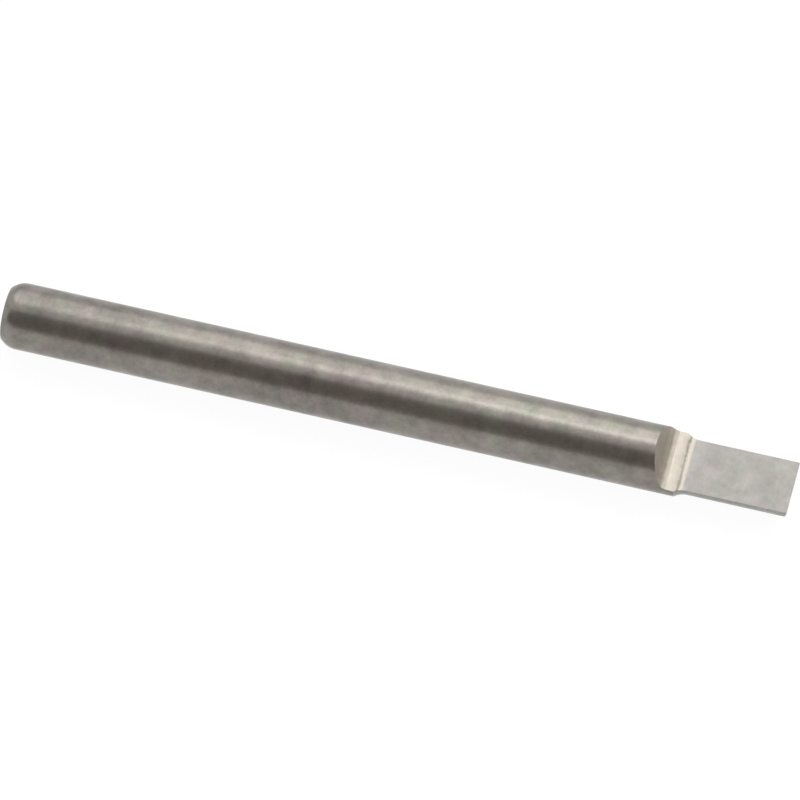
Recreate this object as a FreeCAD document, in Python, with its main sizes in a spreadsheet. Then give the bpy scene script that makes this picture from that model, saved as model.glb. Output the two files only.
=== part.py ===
import FreeCAD, Part

import math
import os

import Sketcher
from FreeCAD import Vector

# A split-end engraving cutter: one piece of solid carbide, ground all over from round rod.
# The long round shank is held in the spindle's collet. At the tip, half of the round is ground
# away to a flat just over the tool axis, the half that is left is relieved to a smaller round,
# and the end face leans back under the flat's edge.
# Lengths are in millimetres and angles in degrees.
# In the body's own frame X is the tool axis, from the back face at 0 to the tip, and the flat
# looks along +Z. The cutter is placed lying on its shank, flat up, centred over the origin.

# Driving sizes, in the order in which the cutter is made.
DIMENSIONS = {
    # round rod, cut to length
    "overall_length": 38.1,
    "shank_dia": 3.175,
    # chamfer round the back face: its length along the axis and its depth square to it
    "chamfer_length": 0.47,
    "chamfer_depth": 0.33,
    # smaller round at the tip, and the wheel radius that leads down to it from the shank
    "tip_dia": 2.75,
    "relief_length": 4.8,
    "relief_radius": 1.0,
    # working flat of the split, measured back from the tip, and the radius at its root
    "flat_length": 5.0,
    "flat_height": 0.06,
    "root_radius": 0.6,
    # level ledge just above the flat
    "ledge_length": 0.17,
    "ledge_height": 0.09,
    # land that climbs gently from the ledge towards the shank
    "land_length": 0.43,
    "land_slope": 6.0,
    # shoulder at the end of the split: the radius that leads up to it from the land, and the lean
    # of its face from square to the axis
    "shoulder_radius": 0.35,
    "shoulder_lean": 23.0,
    # lean of the tip's end face from square to the axis, back under the flat's edge
    "end_clearance": 10.0,
}
SHEET = "Dimensions"

# How far the profiles that are ground away run out past the metal.
RUN_OUT = 1.0

# Ends of a sketch line or arc, as constraints count them.
START = 1
END = 2
ORIGIN = (-1, 1)


def make_sheet(doc):
    """The spreadsheet that holds each driving size in a cell with an alias."""
    sheet = doc.addObject("Spreadsheet::Sheet", SHEET)
    for row, (name, value) in enumerate(DIMENSIONS.items(), start=1):
        sheet.set(f"A{row}", name)
        sheet.set(f"B{row}", str(value))
        sheet.setAlias(f"B{row}", name)
    return sheet


def sketch_on_long_section(body, name):
    """An empty sketch on the body's XZ plane, which is the tool's mirror plane."""
    sketch = body.newObject("Sketcher::SketchObject", name)
    plane = next(item for item in body.Origin.OriginFeatures if item.Role == "XZ_Plane")
    sketch.AttachmentSupport = [(plane, "")]
    sketch.MapMode = "FlatFace"
    return sketch


def add_line(sketch, start, end):
    """Draw a line between two (x, z) points and return its number in the sketch."""
    return sketch.addGeometry(Part.LineSegment(Vector(*start, 0), Vector(*end, 0)), False)


def add_arc(sketch, centre, radius, from_deg, to_deg):
    """Draw an anticlockwise arc round an (x, z) centre and return its number in the sketch."""
    circle = Part.Circle(Vector(*centre, 0), Vector(0, 0, 1), radius)
    arc = Part.ArcOfCircle(circle, math.radians(from_deg), math.radians(to_deg))
    return sketch.addGeometry(arc, False)


def join(sketch, first, first_end, second, second_end):
    """Make an end of one line or arc meet an end of another."""
    sketch.addConstraint(Sketcher.Constraint("Coincident", first, first_end, second, second_end))


def join_smoothly(sketch, first, first_end, second, second_end):
    """Make an end of one line or arc run tangent into an end of another."""
    sketch.addConstraint(Sketcher.Constraint("Tangent", first, first_end, second, second_end))


def lay(sketch, kind, *lines):
    """Make each line Horizontal or Vertical."""
    for line in lines:
        sketch.addConstraint(Sketcher.Constraint(kind, line))


def drive(sketch, name, formula, kind, *where):
    """Add a dimension that is bound to a formula on the sheet's sizes."""
    value = sketch.evalExpression(formula)
    index = sketch.addConstraint(Sketcher.Constraint(kind, *where, value))
    sketch.renameConstraint(index, name)
    sketch.setExpression(f"Constraints.{name}", formula)


def size(name):
    """A driving size as a formula names it."""
    return f"{SHEET}.{name}"


def draw_turned_profile(sketch):
    """Half of the long section: back chamfer, shank, relief radius and tip round."""
    length = DIMENSIONS["overall_length"]
    shank_radius = DIMENSIONS["shank_dia"] / 2
    chamfer_length = DIMENSIONS["chamfer_length"]
    chamfer_depth = DIMENSIONS["chamfer_depth"]
    tip_radius = DIMENSIONS["tip_dia"] / 2
    relief_radius = DIMENSIONS["relief_radius"]
    relief_start = length - DIMENSIONS["relief_length"]
    arc_centre = (relief_start, tip_radius + relief_radius)
    arc_rise = math.degrees(math.asin((arc_centre[1] - shank_radius) / relief_radius))
    shank_end = relief_start - relief_radius * math.cos(math.radians(arc_rise))

    axis = add_line(sketch, (length, 0), (0, 0))
    rim = (0, shank_radius - chamfer_depth)
    shank_start = (chamfer_length, shank_radius)
    back_face = add_line(sketch, (0, 0), rim)
    back_bevel = add_line(sketch, rim, shank_start)
    shank = add_line(sketch, shank_start, (shank_end, shank_radius))
    relief = add_arc(sketch, arc_centre, relief_radius, 180 + arc_rise, 270)
    tip_round = add_line(sketch, (relief_start, tip_radius), (length, tip_radius))
    tip_face = add_line(sketch, (length, tip_radius), (length, 0))

    join(sketch, axis, END, *ORIGIN)
    join(sketch, axis, END, back_face, START)
    join(sketch, back_face, END, back_bevel, START)
    join(sketch, back_bevel, END, shank, START)
    join(sketch, shank, END, relief, START)
    join_smoothly(sketch, relief, END, tip_round, START)
    join(sketch, tip_round, END, tip_face, START)
    join(sketch, tip_face, END, axis, START)
    lay(sketch, "Horizontal", axis, shank, tip_round)
    lay(sketch, "Vertical", back_face, tip_face)

    drive(sketch, "length", size("overall_length"), "DistanceX", *ORIGIN, tip_face, END)
    drive(sketch, "shank_radius", size("shank_dia") + " / 2", "DistanceY", *ORIGIN, shank, START)
    drive(sketch, "chamfer_run", size("chamfer_length"), "DistanceX", *ORIGIN, shank, START)
    drive(sketch, "chamfer_rise", size("chamfer_depth"), "DistanceY", back_face, END, shank, START)
    drive(sketch, "tip_radius", size("tip_dia") + " / 2", "DistanceY", *ORIGIN, tip_face, START)
    drive(sketch, "relief_length", size("relief_length"), "DistanceX", tip_round, START, tip_round, END)
    drive(sketch, "relief_radius", size("relief_radius"), "Radius", relief)


def draw_split_profile(sketch):
    """What the wheels take away above the axis: shoulder, land, ledge, root radius and flat."""
    length = DIMENSIONS["overall_length"]
    lean = math.radians(DIMENSIONS["shoulder_lean"])
    shoulder_radius = DIMENSIONS["shoulder_radius"]
    slope = math.radians(DIMENSIONS["land_slope"])
    ledge_height = DIMENSIONS["ledge_height"]
    flat_height = DIMENSIONS["flat_height"]
    root_radius = DIMENSIONS["root_radius"]
    top = DIMENSIONS["shank_dia"] / 2 + RUN_OUT
    past_tip = length + RUN_OUT

    # The root radius rises from the flat until it meets the edge of the ledge.
    root = (length - DIMENSIONS["flat_length"], flat_height)
    root_centre = (root[0], flat_height + root_radius)
    root_rise = math.asin((root_centre[1] - ledge_height) / root_radius)
    ledge_edge = (root[0] - root_radius * math.cos(root_rise), ledge_height)

    # From the ledge the land climbs to the radius that turns it up into the leaning face.
    land_edge = (ledge_edge[0] - DIMENSIONS["ledge_length"], ledge_height)
    land_length = DIMENSIONS["land_length"]
    land_start = (land_edge[0] - land_length, ledge_height + land_length * math.tan(slope))
    foot_centre = (
        land_start[0] + shoulder_radius * math.sin(slope),
        land_start[1] + shoulder_radius * math.cos(slope),
    )
    face_end = (
        foot_centre[0] - shoulder_radius * math.cos(lean),
        foot_centre[1] - shoulder_radius * math.sin(lean),
    )
    face_top = (face_end[0] - (top - face_end[1]) * math.tan(lean), top)

    foot_from = 180 + math.degrees(lean)
    foot_to = 270 - math.degrees(slope)
    lid = add_line(sketch, (past_tip, top), face_top)
    face = add_line(sketch, face_top, face_end)
    foot = add_arc(sketch, foot_centre, shoulder_radius, foot_from, foot_to)
    land = add_line(sketch, land_start, land_edge)
    ledge = add_line(sketch, land_edge, ledge_edge)
    root_arc = add_arc(sketch, root_centre, root_radius, 180 + math.degrees(root_rise), 270)
    flat = add_line(sketch, root, (past_tip, flat_height))
    outside = add_line(sketch, (past_tip, flat_height), (past_tip, top))

    join(sketch, lid, END, face, START)
    join_smoothly(sketch, face, END, foot, START)
    join_smoothly(sketch, foot, END, land, START)
    join(sketch, land, END, ledge, START)
    join(sketch, ledge, END, root_arc, START)
    join_smoothly(sketch, root_arc, END, flat, START)
    join(sketch, flat, END, outside, START)
    join(sketch, outside, END, lid, START)
    lay(sketch, "Horizontal", lid, ledge, flat)
    lay(sketch, "Vertical", outside)

    past_tip_formula = f"{size('overall_length')} + {RUN_OUT}"
    top_formula = f"{size('shank_dia')} / 2 + {RUN_OUT}"
    root_formula = f"{size('overall_length')} - {size('flat_length')}"
    slope_formula = f"-{size('land_slope')} * 1 deg"
    lean_formula = f"{size('shoulder_lean')} * 1 deg - 90 deg"
    drive(sketch, "past_tip", past_tip_formula, "DistanceX", *ORIGIN, outside, START)
    drive(sketch, "top", top_formula, "DistanceY", *ORIGIN, outside, END)
    drive(sketch, "root_place", root_formula, "DistanceX", *ORIGIN, flat, START)
    drive(sketch, "flat_height", size("flat_height"), "DistanceY", *ORIGIN, flat, START)
    drive(sketch, "root_radius", size("root_radius"), "Radius", root_arc)
    drive(sketch, "ledge_height", size("ledge_height"), "DistanceY", *ORIGIN, ledge, END)
    drive(sketch, "ledge_length", size("ledge_length"), "DistanceX", ledge, START, ledge, END)
    drive(sketch, "land_length", size("land_length"), "DistanceX", land, START, land, END)
    drive(sketch, "land_slope", slope_formula, "Angle", land)
    drive(sketch, "shoulder_radius", size("shoulder_radius"), "Radius", foot)
    drive(sketch, "lean", lean_formula, "Angle", face)


def draw_clearance_profile(sketch):
    """The wedge taken off the tip's end, from the flat's end edge down and back."""
    length = DIMENSIONS["overall_length"]
    clearance = math.radians(DIMENSIONS["end_clearance"])
    flat_height = DIMENSIONS["flat_height"]
    past_tip = length + RUN_OUT
    bottom = -DIMENSIONS["tip_dia"] / 2 - RUN_OUT
    face_bottom = (length - (flat_height - bottom) * math.tan(clearance), bottom)

    end_face = add_line(sketch, (length, flat_height), face_bottom)
    below = add_line(sketch, face_bottom, (past_tip, bottom))
    outside = add_line(sketch, (past_tip, bottom), (past_tip, flat_height))
    lid = add_line(sketch, (past_tip, flat_height), (length, flat_height))

    join(sketch, end_face, END, below, START)
    join(sketch, below, END, outside, START)
    join(sketch, outside, END, lid, START)
    join(sketch, lid, END, end_face, START)
    lay(sketch, "Horizontal", below, lid)
    lay(sketch, "Vertical", outside)

    drop_formula = f"{size('tip_dia')} / 2 + {RUN_OUT} + {size('flat_height')}"
    lean_formula = f"-90 deg - {size('end_clearance')} * 1 deg"
    drive(sketch, "edge_place", size("overall_length"), "DistanceX", *ORIGIN, end_face, START)
    drive(sketch, "edge_height", size("flat_height"), "DistanceY", *ORIGIN, end_face, START)
    drive(sketch, "past_tip", str(RUN_OUT), "DistanceX", lid, END, lid, START)
    drive(sketch, "drop", drop_formula, "DistanceY", outside, START, outside, END)
    drive(sketch, "lean", lean_formula, "Angle", end_face)


def grind_across(body, name, draw_profile):
    """Cut a profile right across the body, and stop if it takes nothing away."""
    volume_before = body.Shape.Volume
    profile = sketch_on_long_section(body, f"{name}_profile")
    draw_profile(profile)
    cut = body.newObject("PartDesign::Pocket", name)
    cut.Profile = profile
    cut.Type = "ThroughAll"
    cut.SideType = "Symmetric"
    body.Document.recompute()
    if not cut.Shape.Volume < volume_before:
        raise RuntimeError(f"the {name} takes nothing away")


def make_cutter(doc):
    """The whole cutter: a turned round, the split ground across it, and the tip's clearance."""
    body = doc.addObject("PartDesign::Body", "engraving_cutter")
    body.Label = "engraving_cutter"

    turned_profile = sketch_on_long_section(body, "turned_profile")
    draw_turned_profile(turned_profile)
    turned_round = body.newObject("PartDesign::Revolution", "turned_round")
    turned_round.Profile = turned_profile
    turned_round.ReferenceAxis = (turned_profile, ["H_Axis"])
    turned_round.Angle = 360.0
    doc.recompute()
    grind_across(body, "split", draw_split_profile)
    grind_across(body, "clearance", draw_clearance_profile)

    # Lying on the lowest line of the shank, with the middle of its length over the origin.
    body.setExpression("Placement.Base.x", f"-{size('overall_length')} / 2")
    body.setExpression("Placement.Base.z", f"{size('shank_dia')} / 2")
    doc.recompute()
    return body


def check_document(doc, bodies):
    """Stop if a feature failed, a sketch is loose or a solid isn't whole."""
    for item in doc.Objects:
        if "Invalid" in item.State or "Error" in item.State:
            raise RuntimeError(f"{item.Name} did not build: {item.State}")
        if item.TypeId == "Sketcher::SketchObject" and not item.FullyConstrained:
            raise RuntimeError(f"{item.Name} is not fully constrained")
    for body in bodies:
        shape = body.Shape
        if shape.isNull() or not shape.isValid() or len(shape.Solids) != 1:
            raise RuntimeError(f"{body.Label} is not one valid solid")


def main():
    doc = FreeCAD.newDocument("engraving_cutter")
    make_sheet(doc)
    doc.recompute()
    bodies = [make_cutter(doc)]
    check_document(doc, bodies)
    os.makedirs("parts", exist_ok=True)
    for body in bodies:
        body.Shape.exportStep(f"parts/{body.Label}.step")
        box = body.Shape.optimalBoundingBox(True, False)
        print(f"{body.Label}: volume {body.Shape.Volume:.3f} mm3")
        print(f"  x {box.XMin:.3f} to {box.XMax:.3f}")
        print(f"  y {box.YMin:.3f} to {box.YMax:.3f}")
        print(f"  z {box.ZMin:.3f} to {box.ZMax:.3f}")


main()
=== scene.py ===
import math

import bmesh
import bpy
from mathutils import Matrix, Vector


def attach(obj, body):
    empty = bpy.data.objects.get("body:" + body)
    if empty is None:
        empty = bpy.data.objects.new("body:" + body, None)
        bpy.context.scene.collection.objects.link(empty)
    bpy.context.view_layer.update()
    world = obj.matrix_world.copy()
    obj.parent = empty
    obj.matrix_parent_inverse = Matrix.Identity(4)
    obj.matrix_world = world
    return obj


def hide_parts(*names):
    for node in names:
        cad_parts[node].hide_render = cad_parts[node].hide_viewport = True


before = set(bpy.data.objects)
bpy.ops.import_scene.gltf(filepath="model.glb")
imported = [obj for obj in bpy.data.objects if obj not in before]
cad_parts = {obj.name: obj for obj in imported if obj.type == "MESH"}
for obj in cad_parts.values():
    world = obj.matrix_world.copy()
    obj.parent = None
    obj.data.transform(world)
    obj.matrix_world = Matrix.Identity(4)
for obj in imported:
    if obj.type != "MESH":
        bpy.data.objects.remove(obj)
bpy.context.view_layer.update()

# The rod. The cutter is one piece of cobalt-bonded tungsten carbide. It starts as a round rod,
# centreless ground to the shank's size, chamfered round its back face and relieved at the tip to
# a smaller round. It is shaped here in millimetres and brought to metres when it is finished.
overall_length = 38.1
shank_radius = 3.175 / 2
chamfer_length = 0.47
chamfer_depth = 0.33
chamfer_rounding = 0.26
back_rounding = 0.09
tip_radius = 2.75 / 2
relief_length = 4.8
relief_radius = 1.0
relief_steps = 8
rod_sides = 144
back_end = -overall_length / 2
tip_end = overall_length / 2
same_place = 1e-4


def select_where(test):
    """In edit mode, select the vertices whose place passes the test, and nothing else."""
    bpy.ops.mesh.select_mode(type="VERT")
    bpy.ops.mesh.select_all(action="DESELECT")
    mesh = bmesh.from_edit_mesh(bpy.context.object.data)
    for vertex in mesh.verts:
        vertex.select_set(test(vertex.co))
    mesh.select_flush(True)
    bmesh.update_edit_mesh(bpy.context.object.data)


def draw_out(run, scale):
    """Extrude the selected end face along the rod and bring it to its new radius."""
    bpy.ops.mesh.extrude_region_move(TRANSFORM_OT_translate={"value": (run, 0, 0)})
    bpy.ops.transform.resize(value=(1, scale, scale), center_override=(0, 0, shank_radius))


bpy.ops.object.select_all(action="DESELECT")
bpy.ops.mesh.primitive_circle_add(
    vertices=rod_sides,
    radius=shank_radius - chamfer_depth,
    fill_type="NGON",
    location=(back_end, 0, shank_radius),
    rotation=(0, math.pi / 2, 0),
)
cutter = bpy.context.object
cutter.name = "ground_cutter"
bpy.ops.object.transform_apply(location=True, rotation=True, scale=True)
bpy.ops.object.mode_set(mode="EDIT")
bpy.ops.mesh.select_all(action="SELECT")
draw_out(chamfer_length, shank_radius / (shank_radius - chamfer_depth))

# A hollow arc leads from the shank down to the tip's round.
relief_centre = (tip_end - relief_length, tip_radius + relief_radius)
relief_rise = math.asin((relief_centre[1] - shank_radius) / relief_radius)
relief_start = relief_centre[0] - relief_radius * math.cos(relief_rise)
draw_out(relief_start - (back_end + chamfer_length), 1)
ring = (relief_start, shank_radius)
for step in range(1, relief_steps + 1):
    turn = relief_rise + (math.pi / 2 - relief_rise) * step / relief_steps
    next_ring = (
        relief_centre[0] - relief_radius * math.cos(turn),
        relief_centre[1] - relief_radius * math.sin(turn),
    )
    draw_out(next_ring[0] - ring[0], next_ring[1] / ring[1])
    ring = next_ring
draw_out(tip_end - ring[0], 1)

# The chamfer's two corners are worn round.
for corner, rounding in ((back_end + chamfer_length, chamfer_rounding), (back_end, back_rounding)):
    select_where(lambda place: abs(place.x - corner) < same_place)
    bpy.ops.mesh.bevel(offset=rounding, segments=5, affect="EDGES")
bpy.ops.mesh.select_all(action="SELECT")
bpy.ops.mesh.normals_make_consistent(inside=False)
bpy.ops.object.mode_set(mode="OBJECT")

# The split. Grinding wheels take away the upper half of the tip. The first cut leaves the leaning
# shoulder, the sloping land and a narrow ledge, and the second, a little deeper, leaves the
# working flat. The block is all that they take away. Last the end is ground back under the flat.
flat_length = 5.0
flat_height = shank_radius + 0.06
root_radius = 0.6
root_steps = 8
ledge_length = 0.17
ledge_height = shank_radius + 0.09
land_length = 0.43
land_slope = math.radians(6)
shoulder_radius = 0.35
shoulder_steps = 14
shoulder_lean = math.radians(23)
end_clearance = math.radians(10)
run_out = 1.0

root = (tip_end - flat_length, flat_height)
root_centre = (root[0], flat_height + root_radius)
root_turn = math.acos((root_centre[1] - ledge_height) / root_radius)
foot_turn = math.pi / 2 - shoulder_lean - land_slope
block_top = 2 * shank_radius + run_out
block_half_width = shank_radius + run_out


def sweep(centre, turn, steps):
    """Spin the selected edge of the wheels' block about a centre in the long section."""
    bpy.ops.mesh.spin(
        steps=steps, angle=turn, center=(centre[0], 0, centre[1]), axis=(0, -1, 0)
    )


def selected_place():
    """Where the selected edge crosses the long section."""
    mesh = bmesh.from_edit_mesh(bpy.context.object.data)
    corner = next(vertex.co for vertex in mesh.verts if vertex.select)
    return corner.x, corner.z


def carry_on(run, rise):
    """Extrude the selected edge of the wheels' block in the long section."""
    bpy.ops.mesh.extrude_region_move(TRANSFORM_OT_translate={"value": (run, 0, rise)})


bpy.ops.object.select_all(action="DESELECT")
bpy.ops.mesh.primitive_plane_add(size=1, location=(0, 0, 0))
wheel_block = bpy.context.object
wheel_block.name = "wheel_block"
bpy.ops.object.mode_set(mode="EDIT")
bpy.ops.mesh.select_all(action="SELECT")
bpy.ops.transform.resize(value=(tip_end + run_out - root[0], 2 * block_half_width, 1))
bpy.ops.transform.translate(value=((tip_end + run_out + root[0]) / 2, 0, flat_height))
select_where(lambda place: place.x > tip_end)
carry_on(0, block_top - flat_height)
select_where(lambda place: abs(place.x - root[0]) < same_place)
sweep(root_centre, root_turn, root_steps)
carry_on(-ledge_length, 0)
carry_on(-land_length, land_length * math.tan(land_slope))
land_end = selected_place()
foot_centre = (
    land_end[0] + shoulder_radius * math.sin(land_slope),
    land_end[1] + shoulder_radius * math.cos(land_slope),
)
sweep(foot_centre, foot_turn, shoulder_steps)
face_rise = block_top - selected_place()[1]
carry_on(-face_rise * math.tan(shoulder_lean), face_rise)
for side in (-1, 1):
    select_where(lambda place: place.y * side > 0)
    bpy.ops.mesh.edge_face_add()
select_where(lambda place: abs(place.z - block_top) < same_place)
bpy.ops.mesh.edge_face_add()
bpy.ops.mesh.select_all(action="SELECT")
bpy.ops.mesh.normals_make_consistent(inside=False)
bpy.ops.object.mode_set(mode="OBJECT")

bpy.ops.object.select_all(action="DESELECT")
cutter.select_set(True)
bpy.context.view_layer.objects.active = cutter
split = cutter.modifiers.new("split", "BOOLEAN")
split.operation = "DIFFERENCE"
split.solver = "EXACT"
split.object = wheel_block
bpy.ops.object.modifier_apply(modifier=split.name)
bpy.data.objects.remove(wheel_block)

bpy.ops.object.mode_set(mode="EDIT")
bpy.ops.mesh.select_all(action="SELECT")
bpy.ops.mesh.bisect(
    plane_co=(tip_end, 0, flat_height),
    plane_no=(math.cos(end_clearance), 0, -math.sin(end_clearance)),
    use_fill=True,
    clear_outer=True,
)
bpy.ops.mesh.select_all(action="SELECT")
bpy.ops.mesh.normals_make_consistent(inside=False)
bpy.ops.object.mode_set(mode="OBJECT")

# Every edge that the wheels leave is broken by about two hundredths of a millimetre.
edge_break = 0.018
broken_above = math.radians(28)
smooth_below = math.radians(40)
edges = cutter.modifiers.new("broken_edges", "BEVEL")
edges.limit_method = "ANGLE"
edges.angle_limit = broken_above
edges.width = edge_break
edges.segments = 2
edges.profile = 0.6
bpy.ops.object.modifier_apply(modifier=edges.name)
bpy.ops.object.mode_set(mode="EDIT")
bpy.ops.mesh.select_all(action="SELECT")
bpy.ops.mesh.remove_doubles(threshold=same_place)
bpy.ops.object.mode_set(mode="OBJECT")
bpy.ops.object.shade_smooth_by_angle(angle=smooth_below)
even_shade = cutter.modifiers.new("even_shade", "WEIGHTED_NORMAL")
even_shade.keep_sharp = True
bpy.ops.object.modifier_apply(modifier=even_shade.name)

# Millimetres to metres.
mm = 0.001
cutter.scale = (mm, mm, mm)
bpy.ops.object.transform_apply(location=False, rotation=False, scale=True)

noise_middle = 0.5


def add_group_node(nodes, group, **values):
    """Put a node group into a material and set its inputs by name."""
    node = nodes.new("ShaderNodeGroup")
    node.node_tree = group
    for name, value in values.items():
        node.inputs[name.replace("_", " ")].default_value = value
    return node


# Fine lines that a grinding wheel leaves, and a broader tone that runs the same way.
broad_share = 0.16
grind_lines = bpy.data.node_groups.new("grind_lines", "ShaderNodeTree")
face = grind_lines.interface
face.new_socket("Stretch", in_out="INPUT", socket_type="NodeSocketVector")
face.new_socket("Height", in_out="OUTPUT", socket_type="NodeSocketFloat")
face.new_socket("Tone", in_out="OUTPUT", socket_type="NodeSocketFloat")
nodes, links = grind_lines.nodes, grind_lines.links
group_in = nodes.new("NodeGroupInput")
group_out = nodes.new("NodeGroupOutput")
place = nodes.new("ShaderNodeTexCoord")
stretched = nodes.new("ShaderNodeVectorMath")
stretched.operation = "MULTIPLY"
links.new(place.outputs["Object"], stretched.inputs[0])
links.new(group_in.outputs["Stretch"], stretched.inputs[1])
fine = nodes.new("ShaderNodeTexNoise")
fine.inputs["Scale"].default_value = 1
fine.inputs["Detail"].default_value = 3
fine.inputs["Roughness"].default_value = 0.6
links.new(stretched.outputs["Vector"], fine.inputs["Vector"])
links.new(fine.outputs["Fac"], group_out.inputs["Height"])
broad_place = nodes.new("ShaderNodeVectorMath")
broad_place.operation = "SCALE"
broad_place.inputs["Scale"].default_value = broad_share
links.new(stretched.outputs["Vector"], broad_place.inputs[0])
broad = nodes.new("ShaderNodeTexNoise")
broad.inputs["Scale"].default_value = 1
broad.inputs["Detail"].default_value = 4
broad.inputs["Roughness"].default_value = 0.7
links.new(broad_place.outputs["Vector"], broad.inputs["Vector"])
links.new(broad.outputs["Fac"], group_out.inputs["Tone"])

# Cloudy patches of tone and of warmer or greener grey that ground carbide shows. Depth is how far
# the patches change the tone, Drift how far it changes slowly along the cutter.
green_tint = (0.95, 1.0, 0.93, 1)
pink_tint = (1.03, 0.97, 1.0, 1)
drift_scale = 120
drift_seed = 8.8
wave_seed = 8.1
carbide_clouds = bpy.data.node_groups.new("carbide_clouds", "ShaderNodeTree")
face = carbide_clouds.interface
face.new_socket("Color", in_out="INPUT", socket_type="NodeSocketColor")
for name in ("Patch", "Depth", "Drift", "Tint", "Tint Seed", "Tone Seed"):
    face.new_socket(name, in_out="INPUT", socket_type="NodeSocketFloat")
face.new_socket("Color", in_out="OUTPUT", socket_type="NodeSocketColor")
face.new_socket("Tone", in_out="OUTPUT", socket_type="NodeSocketFloat")
face.new_socket("Waves", in_out="OUTPUT", socket_type="NodeSocketFloat")
nodes, links = carbide_clouds.nodes, carbide_clouds.links
group_in = nodes.new("NodeGroupInput")
group_out = nodes.new("NodeGroupOutput")
place = nodes.new("ShaderNodeTexCoord")
tone = nodes.new("ShaderNodeTexNoise")
tone.noise_dimensions = "4D"
tone.inputs["Detail"].default_value = 5
tone.inputs["Roughness"].default_value = 0.76
links.new(place.outputs["Object"], tone.inputs["Vector"])
links.new(group_in.outputs["Patch"], tone.inputs["Scale"])
links.new(group_in.outputs["Tone Seed"], tone.inputs["W"])
tint = nodes.new("ShaderNodeTexNoise")
tint.noise_dimensions = "4D"
tint.inputs["Detail"].default_value = 2
links.new(place.outputs["Object"], tint.inputs["Vector"])
links.new(group_in.outputs["Patch"], tint.inputs["Scale"])
links.new(group_in.outputs["Tint Seed"], tint.inputs["W"])
tint_colors = nodes.new("ShaderNodeValToRGB")
green_end, pink_end = tint_colors.color_ramp.elements
green_end.position = 0.32
green_end.color = green_tint
pink_end.position = 0.68
pink_end.color = pink_tint
links.new(tint.outputs["Fac"], tint_colors.inputs["Fac"])
tinted = nodes.new("ShaderNodeMix")
tinted.data_type = "RGBA"
tinted.blend_type = "MULTIPLY"
links.new(group_in.outputs["Tint"], tinted.inputs["Factor"])
links.new(group_in.outputs["Color"], tinted.inputs["A"])
links.new(tint_colors.outputs["Color"], tinted.inputs["B"])
centred = nodes.new("ShaderNodeMath")
centred.operation = "SUBTRACT"
centred.inputs[1].default_value = noise_middle
links.new(tone.outputs["Fac"], centred.inputs[0])
drift = nodes.new("ShaderNodeTexNoise")
drift.noise_dimensions = "4D"
drift.inputs["W"].default_value = drift_seed
drift.inputs["Scale"].default_value = drift_scale
drift.inputs["Detail"].default_value = 1
links.new(place.outputs["Object"], drift.inputs["Vector"])
drift_centred = nodes.new("ShaderNodeMath")
drift_centred.operation = "SUBTRACT"
drift_centred.inputs[1].default_value = noise_middle
links.new(drift.outputs["Fac"], drift_centred.inputs[0])
drifted = nodes.new("ShaderNodeMath")
drifted.operation = "MULTIPLY_ADD"
drifted.inputs[2].default_value = 1
links.new(drift_centred.outputs[0], drifted.inputs[0])
links.new(group_in.outputs["Drift"], drifted.inputs[1])
toned = nodes.new("ShaderNodeMath")
toned.operation = "MULTIPLY_ADD"
links.new(centred.outputs[0], toned.inputs[0])
links.new(group_in.outputs["Depth"], toned.inputs[1])
links.new(drifted.outputs[0], toned.inputs[2])
clouded = nodes.new("ShaderNodeVectorMath")
clouded.operation = "SCALE"
links.new(tinted.outputs["Result"], clouded.inputs[0])
links.new(toned.outputs[0], clouded.inputs["Scale"])
links.new(clouded.outputs["Vector"], group_out.inputs["Color"])
links.new(tone.outputs["Fac"], group_out.inputs["Tone"])
waves = nodes.new("ShaderNodeTexNoise")
waves.noise_dimensions = "4D"
waves.inputs["W"].default_value = wave_seed
waves.inputs["Detail"].default_value = 2
waves.inputs["Roughness"].default_value = 0.6
links.new(place.outputs["Object"], waves.inputs["Vector"])
links.new(group_in.outputs["Patch"], waves.inputs["Scale"])
links.new(waves.outputs["Fac"], group_out.inputs["Waves"])

streak_contrast = 0.07


def make_ground_carbide(name, color, stretch, heights, gloss, **clouding):
    """A ground finish on the carbide: clouded colour, fine lines and a slight waviness.

    The heights are those of the lines and of the waves, and the gloss is the roughness where the
    clouds are darkest and where they are lightest.
    """
    line_height, wave_height = heights
    carbide = bpy.data.materials.new(name)
    carbide.use_nodes = True
    nodes, links = carbide.node_tree.nodes, carbide.node_tree.links
    shader = nodes["Principled BSDF"]
    shader.inputs["Metallic"].default_value = 1
    clouds = add_group_node(nodes, carbide_clouds, Color=color, **clouding)
    lines = add_group_node(nodes, grind_lines, Stretch=stretch)
    streaks = nodes.new("ShaderNodeMapRange")
    streaks.inputs["To Min"].default_value = 1 - streak_contrast
    streaks.inputs["To Max"].default_value = 1 + streak_contrast
    links.new(lines.outputs["Tone"], streaks.inputs["Value"])
    streaked = nodes.new("ShaderNodeVectorMath")
    streaked.operation = "SCALE"
    links.new(clouds.outputs["Color"], streaked.inputs[0])
    links.new(streaks.outputs["Result"], streaked.inputs["Scale"])
    links.new(streaked.outputs["Vector"], shader.inputs["Base Color"])
    roughness = nodes.new("ShaderNodeMapRange")
    roughness.inputs["To Min"].default_value = gloss[0]
    roughness.inputs["To Max"].default_value = gloss[1]
    links.new(clouds.outputs["Tone"], roughness.inputs["Value"])
    links.new(roughness.outputs["Result"], shader.inputs["Roughness"])
    surface = nodes.new("ShaderNodeMath")
    surface.operation = "MULTIPLY_ADD"
    surface.inputs[1].default_value = wave_height / line_height
    links.new(clouds.outputs["Waves"], surface.inputs[0])
    links.new(lines.outputs["Height"], surface.inputs[2])
    bump = nodes.new("ShaderNodeBump")
    bump.inputs["Strength"].default_value = 1
    bump.inputs["Distance"].default_value = line_height
    links.new(surface.outputs[0], bump.inputs["Height"])
    links.new(bump.outputs["Normal"], shader.inputs["Normal"])
    return carbide


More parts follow.
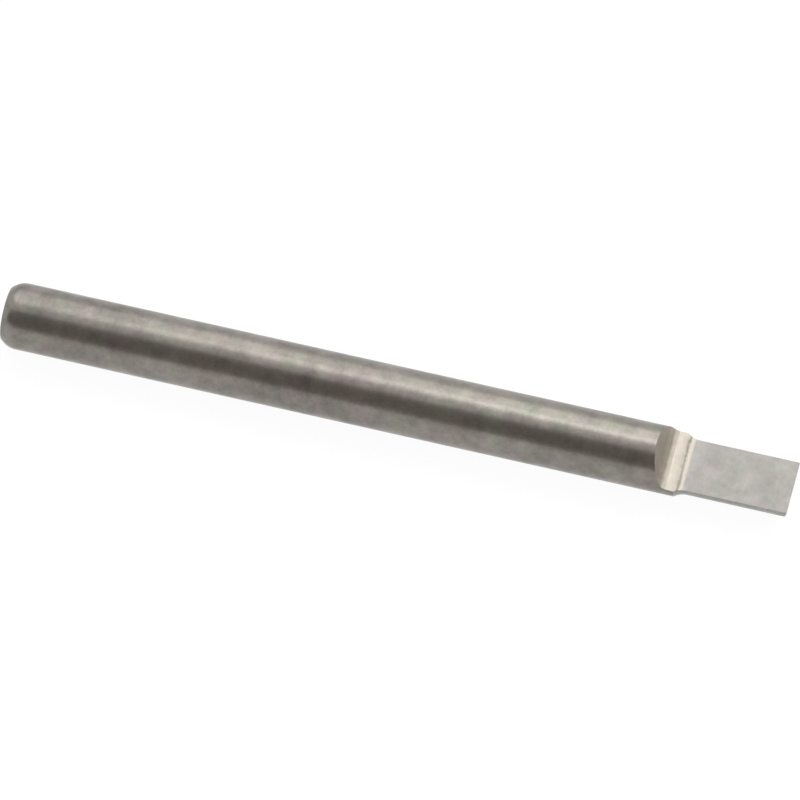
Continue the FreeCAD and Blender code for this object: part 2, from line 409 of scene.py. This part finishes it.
warm_grey = (0.241, 0.2235, 0.205, 1)
cool_grey = (0.2435, 0.2328, 0.2232, 1)
cream_grey = (0.268, 0.246, 0.217, 1)
olive_grey = (0.335, 0.314, 0.274, 1)
relief_grey = (0.288, 0.290, 0.268, 1)
shoulder_grey = (0.34, 0.305, 0.27, 1)
across_lines = (24000, 700, 700)
slope_lines = (24000, 700, 24000)
usual_seeds = {"Tint_Seed": 3.7, "Tone_Seed": 0}
round_grind = make_ground_carbide(
    "round_grind",
    warm_grey,
    across_lines,
    heights=(1.2e-6, 6e-6),
    gloss=(0.36, 0.24),
    Patch=900,
    Depth=1.45,
    Drift=0.5,
    Tint=1,
    Tint_Seed=114.1,
    Tone_Seed=74.2,
)
flat_grind = make_ground_carbide(
    "flat_grind",
    cool_grey,
    across_lines,
    heights=(1.2e-6, 1.5e-6),
    gloss=(0.50, 0.38),
    Patch=1200,
    Depth=0.7,
    Drift=0.12,
    Tint=0.75,
    Tint_Seed=919.8,
    Tone_Seed=883.4,
)
land_grind = make_ground_carbide(
    "land_grind",
    cream_grey,
    across_lines,
    heights=(1.2e-6, 1.5e-6),
    gloss=(0.40, 0.30),
    Patch=1800,
    Depth=0.4,
    Tint=1,
    **usual_seeds,
)
ledge_grind = make_ground_carbide(
    "ledge_grind",
    olive_grey,
    across_lines,
    heights=(1.2e-6, 3e-6),
    gloss=(0.50, 0.38),
    Patch=2500,
    Depth=1.2,
    Tint=1,
    **usual_seeds,
)
relief_grind = make_ground_carbide(
    "relief_grind",
    relief_grey,
    across_lines,
    heights=(1.2e-6, 4e-6),
    gloss=(0.40, 0.28),
    Patch=1800,
    Depth=1.4,
    Tint=1,
    **usual_seeds,
)
shoulder_grind = make_ground_carbide(
    "shoulder_grind",
    shoulder_grey,
    slope_lines,
    heights=(1.5e-6, 1.0e-6),
    gloss=(0.62, 0.52),
    Patch=1800,
    Depth=0.3,
    Tint=1,
    **usual_seeds,
)

band_waver = 0.3 * mm
waver_scale = 2200


def painted_light_band(finish, out_of_end, reach, level):
    """Paint light into a finish's colour in a wavering band across the tip, most along its middle:
    a level above 1 is a painted highlight, a level below 1 painted shade.
    """
    nodes, links = finish.node_tree.nodes, finish.node_tree.links
    shade = nodes["Principled BSDF"].inputs["Base Color"]
    place = nodes.new("ShaderNodeTexCoord")
    along = nodes.new("ShaderNodeSeparateXYZ")
    links.new(place.outputs["Object"], along.inputs[0])
    waver = nodes.new("ShaderNodeTexNoise")
    waver.inputs["Scale"].default_value = waver_scale
    links.new(place.outputs["Object"], waver.inputs["Vector"])
    wavered = nodes.new("ShaderNodeMath")
    wavered.operation = "MULTIPLY_ADD"
    wavered.inputs[1].default_value = band_waver
    links.new(waver.outputs["Fac"], wavered.inputs[0])
    links.new(along.outputs["X"], wavered.inputs[2])
    from_middle = nodes.new("ShaderNodeMath")
    from_middle.operation = "SUBTRACT"
    from_middle.inputs[1].default_value = (tip_end - out_of_end) * mm + band_waver * noise_middle
    links.new(wavered.outputs[0], from_middle.inputs[0])
    off = nodes.new("ShaderNodeMath")
    off.operation = "ABSOLUTE"
    links.new(from_middle.outputs[0], off.inputs[0])
    tone = nodes.new("ShaderNodeMapRange")
    tone.inputs["From Max"].default_value = reach * mm
    tone.inputs["To Min"].default_value = level
    tone.inputs["To Max"].default_value = 1
    links.new(off.outputs[0], tone.inputs["Value"])
    shaded = nodes.new("ShaderNodeVectorMath")
    shaded.operation = "SCALE"
    links.new(shade.links[0].from_socket, shaded.inputs[0])
    links.new(tone.outputs["Result"], shaded.inputs["Scale"])
    links.new(shaded.outputs["Vector"], shade)


# Painted highlights brighten the foot of the shoulder and the root of the flat. Painted shade
# darkens the land's end and draws a dark line along the ledge.
painted_light_band(shoulder_grind, out_of_end=6.09, reach=0.17, level=1.33)
painted_light_band(flat_grind, out_of_end=flat_length, reach=0.3, level=1.15)
painted_light_band(land_grind, out_of_end=5.33, reach=0.3, level=0.86)
# Painted shade: a dark line along the ledge, across the flat, the ledge and the land.
for finish in (flat_grind, ledge_grind, land_grind):
    painted_light_band(finish, out_of_end=5.26, reach=0.10, level=0.60)

# Each facet gets the finish of the wheel that left it: first by how far it is from the tip, and
# then by which way it faces.
finishes = (round_grind, relief_grind, flat_grind, ledge_grind, land_grind, shoulder_grind)
for finish in finishes:
    cutter.data.materials.append(finish)
split_reach = 7.8
foot_begins = 5.8
upright = 0.8
leaning = 0.15
ledge_begins = flat_length + root_radius * math.sin(root_turn)
land_begins = ledge_begins + ledge_length
for facet in cutter.data.polygons:
    out_of_end = tip_end - facet.center.x / mm
    looks_up = facet.normal.z >= upright or facet.normal.x >= leaning
    if out_of_end > split_reach:
        finish = round_grind
    elif facet.center.z / mm < shank_radius or not looks_up:
        finish = relief_grind if out_of_end < tip_end - relief_start else round_grind
    elif out_of_end > foot_begins:
        finish = shoulder_grind if facet.normal.x > leaning else round_grind
    elif out_of_end < flat_length:
        finish = flat_grind
    else:
        finish = ledge_grind if ledge_begins < out_of_end < land_begins else land_grind
    facet.material_index = finishes.index(finish)

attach(cutter, "root")
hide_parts("engraving_cutter")

# The studio: white floor and surroundings, soft boxes over the far side, and a dark flag over the
# near side, which gives the round shank its dark streak.
floor_size = 6
floor_drop = 0.02 * mm
floor_glow = 0.94
floor_grey = (0.06, 0.06, 0.06, 1)
bpy.ops.object.select_all(action="DESELECT")
bpy.ops.mesh.primitive_plane_add(size=floor_size, location=(0, 0, -floor_drop))
floor = bpy.context.object
floor.name = "floor"

# The paper is an even white to the camera and in the metal, and its matt part takes the shadow.
paper = bpy.data.materials.new("white_paper")
paper.use_nodes = True
nodes, links = paper.node_tree.nodes, paper.node_tree.links
nodes.clear()
path = nodes.new("ShaderNodeLightPath")
seen = nodes.new("ShaderNodeMath")
seen.operation = "MAXIMUM"
seen_through = nodes.new("ShaderNodeMath")
seen_through.operation = "MAXIMUM"
glow_level = nodes.new("ShaderNodeMath")
glow_level.operation = "MULTIPLY"
glow_level.inputs[1].default_value = floor_glow
glow = nodes.new("ShaderNodeEmission")
matt = nodes.new("ShaderNodeBsdfDiffuse")
matt.inputs["Color"].default_value = floor_grey
both = nodes.new("ShaderNodeAddShader")
out = nodes.new("ShaderNodeOutputMaterial")
links.new(path.outputs["Is Camera Ray"], seen.inputs[0])
links.new(path.outputs["Is Glossy Ray"], seen.inputs[1])
links.new(seen.outputs[0], seen_through.inputs[0])
links.new(path.outputs["Is Transmission Ray"], seen_through.inputs[1])
links.new(seen_through.outputs[0], glow_level.inputs[0])
links.new(glow_level.outputs[0], glow.inputs["Strength"])
links.new(glow.outputs[0], both.inputs[0])
links.new(matt.outputs[0], both.inputs[1])
links.new(both.outputs[0], out.inputs["Surface"])
floor.data.materials.append(paper)

world = bpy.data.worlds.new("white_surroundings")
bpy.context.scene.world = world
world.use_nodes = True
world.node_tree.nodes["Background"].inputs["Color"].default_value = (1, 1, 1, 1)
world.node_tree.nodes["Background"].inputs["Strength"].default_value = 1

box_distance = 0.75
box_white = (0.985, 1.0, 0.98)


def hang_soft_box(name, left, right, low, high, radiance):
    """An area lamp along the cutter, over its far side, that adds this much to the white behind.

    Seen from the cutter it reaches from left to right along X and from low to high out of the
    upright, all in degrees.
    """
    tilt = math.radians((low + high) / 2)
    start, end = (box_distance * math.tan(math.radians(side)) for side in (left, right))
    lamp = bpy.data.lights.new(name, "AREA")
    lamp.shape = "RECTANGLE"
    lamp.color = box_white
    lamp.size = end - start
    lamp.size_y = 2 * box_distance * math.tan(math.radians((high - low) / 2))
    lamp.energy = radiance * math.pi * lamp.size * lamp.size_y
    soft_box = bpy.data.objects.new(name, lamp)
    soft_box.location = (
        (start + end) / 2,
        box_distance * math.sin(tilt),
        box_distance * math.cos(tilt),
    )
    soft_box.rotation_euler = (-tilt, 0, 0)
    bpy.context.scene.collection.objects.link(soft_box)


hang_soft_box("far_soft_box", left=-5, right=65, low=15, high=69, radiance=1.70)
hang_soft_box("far_strip", left=-5, right=65, low=22, high=31, radiance=3.2)
hang_soft_box("far_end_box", left=-22, right=-8, low=15, high=69, radiance=0.6)
hang_soft_box("far_end_wrap", left=-42, right=-24, low=20, high=75, radiance=1.4)

flag_size = (2.0, 0.46, 0)
flag_place = Vector((0, -0.262, 0.302))
flag_grey = (0.308, 0.287, 0.268, 1)
bpy.ops.object.select_all(action="DESELECT")
bpy.ops.mesh.primitive_plane_add(size=1)
flag = bpy.context.object
flag.name = "dark_flag"
flag.dimensions = flag_size
flag.location = flag_place
flag.rotation_euler = (-flag_place).to_track_quat("-Z", "Y").to_euler()
dark = bpy.data.materials.new("dark_flag")
dark.use_nodes = True
dark.node_tree.nodes.clear()
dark_glow = dark.node_tree.nodes.new("ShaderNodeEmission")
dark_glow.inputs["Color"].default_value = flag_grey
dark_out = dark.node_tree.nodes.new("ShaderNodeOutputMaterial")
dark.node_tree.links.new(dark_glow.outputs[0], dark_out.inputs["Surface"])
flag.data.materials.append(dark)
flag.visible_camera = False
flag.visible_shadow = False
flag.visible_diffuse = False

# The camera: far off with a long lens. It looks down on the cutter's near side and a little from
# its tip, and aims within two pixels of the middle of the axis.
azimuth = math.radians(14.2)
elevation = math.radians(61.9)
lens_length = 500
sensor_width = 36
picture_width = 800
pixels_in_mm = 21.305
pixel = mm / pixels_in_mm
aim_right = 1.72 * pixel
aim_up = 0.37 * pixel
to_camera = Vector(
    (
        math.sin(azimuth) * math.cos(elevation),
        -math.cos(azimuth) * math.cos(elevation),
        math.sin(elevation),
    )
)
right = Vector((math.cos(azimuth), math.sin(azimuth), 0))
up = to_camera.cross(right)
distance = picture_width * pixel * lens_length / sensor_width
aim = Vector((0, 0, shank_radius * mm)) + right * aim_right + up * aim_up
camera_data = bpy.data.cameras.new("camera")
camera_data.lens = lens_length
camera_data.sensor_width = sensor_width
camera_data.clip_start = 0.01
camera_data.clip_end = 20
camera = bpy.data.objects.new("camera", camera_data)
camera.location = aim + to_camera * distance
camera.rotation_euler = (-to_camera).to_track_quat("-Z", "Y").to_euler()
bpy.context.scene.collection.objects.link(camera)
bpy.context.scene.camera = camera

bpy.context.scene.view_settings.view_transform = "Standard"

bpy.context.view_layer.update()
